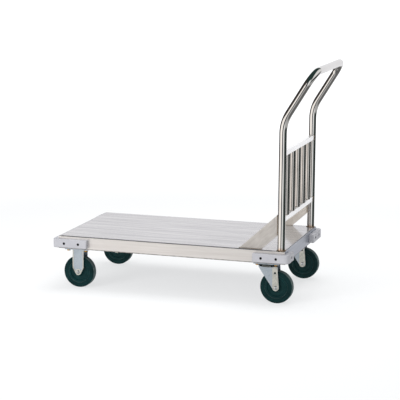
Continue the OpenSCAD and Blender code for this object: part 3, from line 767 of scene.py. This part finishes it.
def add_bead(shape, path, width, height):
    """Flattened domes of a width along the path, each leaning back like a tipped coin."""
    chain = bmesh.new()
    for i, point in enumerate(path):
        ahead = path[min(i + 1, len(path) - 1)] - path[max(i - 1, 0)]
        upright = abs(ahead.normalized().z) > 0.9
        turn = ahead.to_track_quat("X", "Y" if upright else "Z").to_matrix().to_4x4()
        wobble = 1 + 0.10 * math.sin(i * 2.3)
        size = Matrix.Diagonal((width * 0.8, width * wobble, height * 2, 1))
        place = Matrix.Translation(point) @ turn @ Matrix.Rotation(LEAN_BACK, 4, "Y") @ size
        bmesh.ops.create_uvsphere(chain, u_segments=8, v_segments=5, radius=0.5, matrix=place)
    mesh = bpy.data.meshes.new("chain")
    chain.to_mesh(mesh)
    chain.free()
    shape.from_mesh(mesh)
    bpy.data.meshes.remove(mesh)


print("bead helpers ready; domes lean", round(math.degrees(LEAN_BACK)), "degrees")

# %% [markdown]
# Each post stands on the deck in a full ring of weld. On the grille, a bar's end is welded where
# it meets its rail, and a rail's end where it runs into a post. The paths could be typed in; they
# are worked out from the boxes of the CAD nodes, so that every bead stays on its joint.

# %% Beads of the handle and the grille
POST_BEAD = (4.5 * MM, 1.8 * MM)
BAR_BEAD = (3.0 * MM, 1.1 * MM)
RAIL_BEAD = (3.4 * MM, 1.3 * MM)


def post_beads():
    shape = bmesh.new()
    for y in (-post_y, post_y):
        ring = circle_path(Vector((post_x, y, deck_top)), TUBE_R + 1.0 * MM, 2.6 * MM)
        add_bead(shape, ring, *POST_BEAD)
    return shape


def grille_beads():
    """Beads round the bars' ends, and round the rails' ends where they meet the posts."""
    shape = bmesh.new()
    for bar in bar_names:
        low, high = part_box(bar)
        middle = Vector(((low.x + high.x) / 2, (low.y + high.y) / 2, 0))
        radius = (high.x - low.x) / 2 + 0.3 * MM
        for z in (bottom_rail_high.z, top_rail_low.z):
            full = circle_path(middle + Vector((0, 0, z)), radius, 2.4 * MM)
            half = (bottom_rail_high.x - bottom_rail_low.x) / 2
            on_rail = [p for p in full if abs(p.x - middle.x) < half]
            for side in (-1, 1):
                part = [p for p in on_rail if (p.y - middle.y) * side > 0]
                add_bead(shape, sorted(part, key=lambda p: p.x), *BAR_BEAD)
    for low, high in ((bottom_rail_low, bottom_rail_high), (top_rail_low, top_rail_high)):
        for side in (-1, 1):
            for z in (low.z, high.z):
                path = []
                for k in range(8):
                    x = low.x + (high.x - low.x) * k / 7
                    depth = math.sqrt(TUBE_R ** 2 - (x - post_x) ** 2)
                    path.append(Vector((x, side * (post_y - depth - 0.4 * MM), z)))
                add_bead(shape, path, *RAIL_BEAD)
            for x in (low.x, high.x):
                depth = math.sqrt(TUBE_R ** 2 - (x - post_x) ** 2)
                y = side * (post_y - depth - 0.4 * MM)
                add_bead(shape, straight_path(Vector((x, y, low.z)), Vector((x, y, high.z)), 2.4 * MM),
                         *RAIL_BEAD)
    return shape


to_piece(post_beads(), "post_weld_beads", bead_steel, "cart")
to_piece(grille_beads(), "grille_weld_beads", bead_steel, "cart")
print("beads on the posts and the grille")

# %% Beads of the braces
FOOT_BEAD = (4.6 * MM, 1.5 * MM)
SIDE_BEAD = (4.4 * MM, 1.6 * MM)
BRACE_STEP = 3.0 * MM


def brace_beads():
    """A bead on each face of a brace, along the deck and up the post."""
    shape = bmesh.new()
    for side in ("left", "right"):
        low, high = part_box(f"brace_{side}")
        brace = frame["nodes"][f"brace_{side}"].data.vertices
        at_post = [v.co.z for v in brace if v.co.x > high.x - 1.0 * MM]
        at_foot = [v.co.x for v in brace if v.co.z < low.z + 0.1 * MM]
        lean_in = (deck_top - low.z) / math.tan(BRACE_ANGLE)
        for y in (low.y, high.y):
            first = Vector((min(at_foot) + lean_in, y, deck_top))
            last = Vector((max(at_foot) + lean_in, y, deck_top))
            add_bead(shape, straight_path(first, last, BRACE_STEP), *FOOT_BEAD)
            first = Vector((high.x - 0.6 * MM, y, min(at_post) + 2 * MM))
            last = Vector((high.x - 0.6 * MM, y, max(at_post) - 2 * MM))
            add_bead(shape, straight_path(first, last, BRACE_STEP), *SIDE_BEAD)
    return shape


to_piece(brace_beads(), "brace_weld_beads", bead_steel, "cart")
print("beads on the braces")

# %% [markdown]
# The deck sheet is held down on the rails by short stitches of weld, and the step beside its edge lies in
# shade. That shade could be painted on the rails, but here a thin dark strip that sits in the step paints
# it, with its own finish and a crisp edge.

# %% Stitches and the painted shade in the seam
STITCH = 16 * MM
STITCH_GAP = 62 * MM
STITCH_BEAD = (3.6 * MM, 1.3 * MM)
SEAM_W = 2.4 * MM
SEAM_H = 1.5 * MM
SEAM_SHORTER = 50 * MM
SEAM_SHIFT = 20 * MM


def stitch_beads():
    shape = bmesh.new()
    count = int((deck_high.x - deck_low.x - 60 * MM) / STITCH_GAP)
    for y in (deck_low.y, deck_high.y):
        for i in range(count + 1):
            x = deck_middle + (i - count / 2) * STITCH_GAP
            near_post = x > post_x - 3 * TUBE_R
            if not near_post:
                first = Vector((x - STITCH / 2, y, rail_high.z))
                last = Vector((x + STITCH / 2, y, rail_high.z))
                add_bead(shape, straight_path(first, last, 2.6 * MM), *STITCH_BEAD)
    return shape


def seam_shade_strip():
    shape = bmesh.new()
    middle = (deck_low + deck_high) / 2
    for y in (deck_low.y - SEAM_W / 2, deck_high.y + SEAM_W / 2):
        strip = bmesh.ops.create_cube(shape, size=1.0)["verts"]
        bmesh.ops.scale(shape, verts=strip, vec=(deck_high.x - deck_low.x - SEAM_SHORTER, SEAM_W, SEAM_H))
        place = Vector((middle.x - SEAM_SHIFT, y, rail_high.z + SEAM_H / 2 - SINK))
        bmesh.ops.translate(shape, verts=strip, vec=place)
    bmesh.ops.bevel(shape, geom=shape.edges[:], offset=0.3 * MM, offset_type="OFFSET", affect="EDGES",
                    segments=2, profile=0.5, material=-1)
    return shape


to_piece(stitch_beads(), "deck_weld_stitches", bead_steel, "cart")
# The strip is painted shade in the step, not a part of its own
to_piece(seam_shade_strip(), "deck_seam_shade", seam_shade, "cart")
print("weld beads:", sum(len(p.data.polygons) for p in made if "weld" in p.name), "faces")

# %% [markdown]
# Wheels are turned shapes. Half of the section is drawn as a few vertices and mirrored, and spin
# carries it once round the axle. A cylinder with bevels could be near enough for the tyre, but
# the core has a web thinner than its hub and its rim, which only a drawn section gives.

# %% Turning a section
WHEEL_STEPS = 96
BOLT_STEPS = 48


def spin_section(section, centre, closed=True, steps=WHEEL_STEPS):
    """Spins (radius, y) points round the Y axis; an open section starts and ends on that axis."""
    shape = bmesh.new()
    points = [shape.verts.new((radius, y, 0)) for radius, y in section]
    following = points[1:] + points[:1] if closed else points[1:]
    for first, second in zip(points, following):
        shape.edges.new((first, second))
    bmesh.ops.spin(shape, geom=shape.verts[:] + shape.edges[:], cent=(0, 0, 0), axis=(0, 1, 0),
                   angle=math.tau, steps=steps, use_merge=True)
    bmesh.ops.remove_doubles(shape, verts=shape.verts, dist=0.002 * MM)
    bmesh.ops.recalc_face_normals(shape, faces=shape.faces)
    bmesh.ops.translate(shape, verts=shape.verts, vec=centre)
    return shape


def both_sides(half_section):
    """Adds the mirror image of a half section, whose points run from the bore outwards at +y."""
    return half_section + [(radius, -y) for radius, y in reversed(half_section)]


print("a wheel has", WHEEL_STEPS, "steps round it")

# %% [markdown]
# The tyre has round shoulders, a low moulding line on its tread and a groove where it meets the
# core. The tread and the groove hold dust, which is a second finish on those faces.

# %% Sections of the tyre and the core
def tyre_section(outer, inner, half_w):
    shoulder = 6 * MM
    arc = [(outer - shoulder + shoulder * math.sin(a), half_w - shoulder + shoulder * math.cos(a))
           for a in (math.radians(10 * k) for k in range(10))]
    side = [(inner, half_w - 2.4 * MM), (inner + 0.8 * MM, half_w - 1.2 * MM),
            (inner + 2.0 * MM, half_w - 0.2 * MM), (inner + 3.2 * MM, half_w)]
    line = [(outer, 0.6 * MM), (outer + 0.1 * MM, 0.25 * MM)]
    return both_sides(side + arc + line)


def core_section(outer, bore, half_hub):
    web, rim = 10 * MM, 14 * MM
    hub_r, rim_in = 15 * MM, outer - 8 * MM
    hub = [(bore, half_hub - 0.6 * MM), (bore + 0.6 * MM, half_hub), (hub_r - 1.0 * MM, half_hub),
           (hub_r, half_hub - 1.0 * MM)]
    dish = [(hub_r + 1.5 * MM, web + 1.6 * MM), (hub_r + 3 * MM, web + 0.5 * MM), (hub_r + 5 * MM, web),
            (rim_in - 2 * MM, web), (rim_in - 0.8 * MM, web + 0.8 * MM)]
    edge = [(rim_in, rim - 0.8 * MM), (rim_in + 0.8 * MM, rim), (outer - 0.8 * MM, rim),
            (outer, rim - 0.8 * MM)]
    return both_sides(hub + dish + edge)


print("sections drawn")

# %% Wheels
CORE_BORE = 7.05 * MM
CORE_R = 43 * MM
TREAD_DEPTH = 1.6 * MM
SEAM_DUST = 1.1 * MM
castors = [(kind, side) for kind in ("rigid", "swivel") for side in ("left", "right")]
for kind, side in castors:
    low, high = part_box(f"{kind}_tyre_{side}")
    core_low, core_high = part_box(f"{kind}_core_{side}")
    axle = (low + high) / 2
    body = node_bodies[f"{kind}_tyre_{side}"]
    radius = (high.z - low.z) / 2
    tyre = to_piece(spin_section(tyre_section(radius - 0.1 * MM, CORE_R, (high.y - low.y) / 2), axle),
                    f"{kind}_wheel_tyre_{side}", tyre_rubber, body, [f"{kind}_tyre_{side}"])
    second_finish(tyre, tread_rubber, lambda centre, _: (centre - axle).xz.length > radius - TREAD_DEPTH
                  or (centre - axle).xz.length < CORE_R + SEAM_DUST)
    to_piece(spin_section(core_section(CORE_R, CORE_BORE, (core_high.y - core_low.y) / 2), axle),
             f"{kind}_wheel_core_{side}", core_plastic, body, [f"{kind}_core_{side}"])
print(len(castors), "wheels of radius", round(radius, 4), "m")

# %% [markdown]
# Each wheel turns on an axle bolt with a low domed head on one leg of its fork and a nut on the other. The
# forks are pressings: their long sheared edges are softened like the deck's, and the faces on the outside
# of the legs get a paler second finish, painted light.

# %% Axle bolts
AXLE_R = 5 * MM
HEAD_R = 7 * MM
HEAD_DOME = 3.2 * MM
HEAD_TALL = 3.5 * MM


def axle_section(head_y, face_y, end_y):
    """Half section of a bolt along Y, from its domed head to its end, that starts on the axis."""
    dome = [(HEAD_R * math.sin(a), head_y - HEAD_DOME * math.cos(a) + HEAD_DOME)
            for a in (math.radians(15 * k) for k in range(7))]
    return dome + [(HEAD_R, face_y), (AXLE_R, face_y), (AXLE_R, end_y - 0.8 * MM),
                   (AXLE_R - 0.8 * MM, end_y), (0, end_y)]


for kind, side in castors:
    low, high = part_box(f"{kind}_axle_{side}")
    axle = Vector(((low.x + high.x) / 2, 0, (low.z + high.z) / 2))
    shape = spin_section(axle_section(low.y, low.y + HEAD_TALL, high.y), axle, False, BOLT_STEPS)
    to_piece(shape, f"{kind}_axle_bolt_{side}", turned_steel, node_bodies[f"{kind}_axle_{side}"],
             [f"{kind}_axle_{side}"])
    soften_node(f"{kind}_nut_{side}", f"{kind}_axle_nut_{side}", turned_steel, 0.5 * MM, is_sharp)
print(len(castors), "axle bolts")

# %% Forks and swivel plates
RIM_DROP = 60 * MM
for kind, side in castors:
    low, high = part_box(f"{kind}_axle_{side}")
    fork_low, fork_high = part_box(f"{kind}_fork_{side}")
    fork = soften_node(f"{kind}_fork_{side}", f"{kind}_pressed_fork_{side}",
                       fork_zinc if kind == "rigid" else swivel_zinc, 0.45 * MM, is_long_and_sharp)
    middle_y = (fork_low.y + fork_high.y) / 2
    rim_reach = middle_y - (low.y + HEAD_TALL) - 0.2 * MM
    # Painted light: the flat outer faces of the legs, low down, take the paler zinc
    second_finish(fork, lit_rim_zinc, lambda centre, normal: abs(normal.y) > 0.9
                  and abs(centre.y - middle_y) > rim_reach and centre.z < deck_low.z - RIM_DROP)
for side in ("left", "right"):
    soften_node(f"swivel_plate_{side}", f"swivel_top_plate_{side}", fork_zinc, 0.5 * MM, is_long_and_sharp)
print("castor metal made")

# %% [markdown]
# The remaining CAD pieces already have the right shape: bolts, nuts, screws, king pins, balls and sleeves.
# They could be made again, but they are so small that nothing would be gained, so they keep their meshes
# and only get a finish. The rings of balls sit in the gap under the top plate and are painted dark there as
# shade.

# %% Finishes for the CAD pieces that stay
FINISH_BY_SLOT = {"bolt": yellow_zinc, "screw": screw_steel, "steel": turned_steel, "zinc": fork_zinc}
kept = []
for node, thing in frame["nodes"].items():
    if thing.hide_render or node_slots[node] not in FINISH_BY_SLOT:
        continue
    # The ball rings take the zinc painted dark as shade
    finish = shaded_ring_zinc if node.startswith("ball_ring") else FINISH_BY_SLOT[node_slots[node]]
    for slot in thing.material_slots:
        slot.material = finish
    kept.append(node)
print("kept CAD pieces:", len(kept))
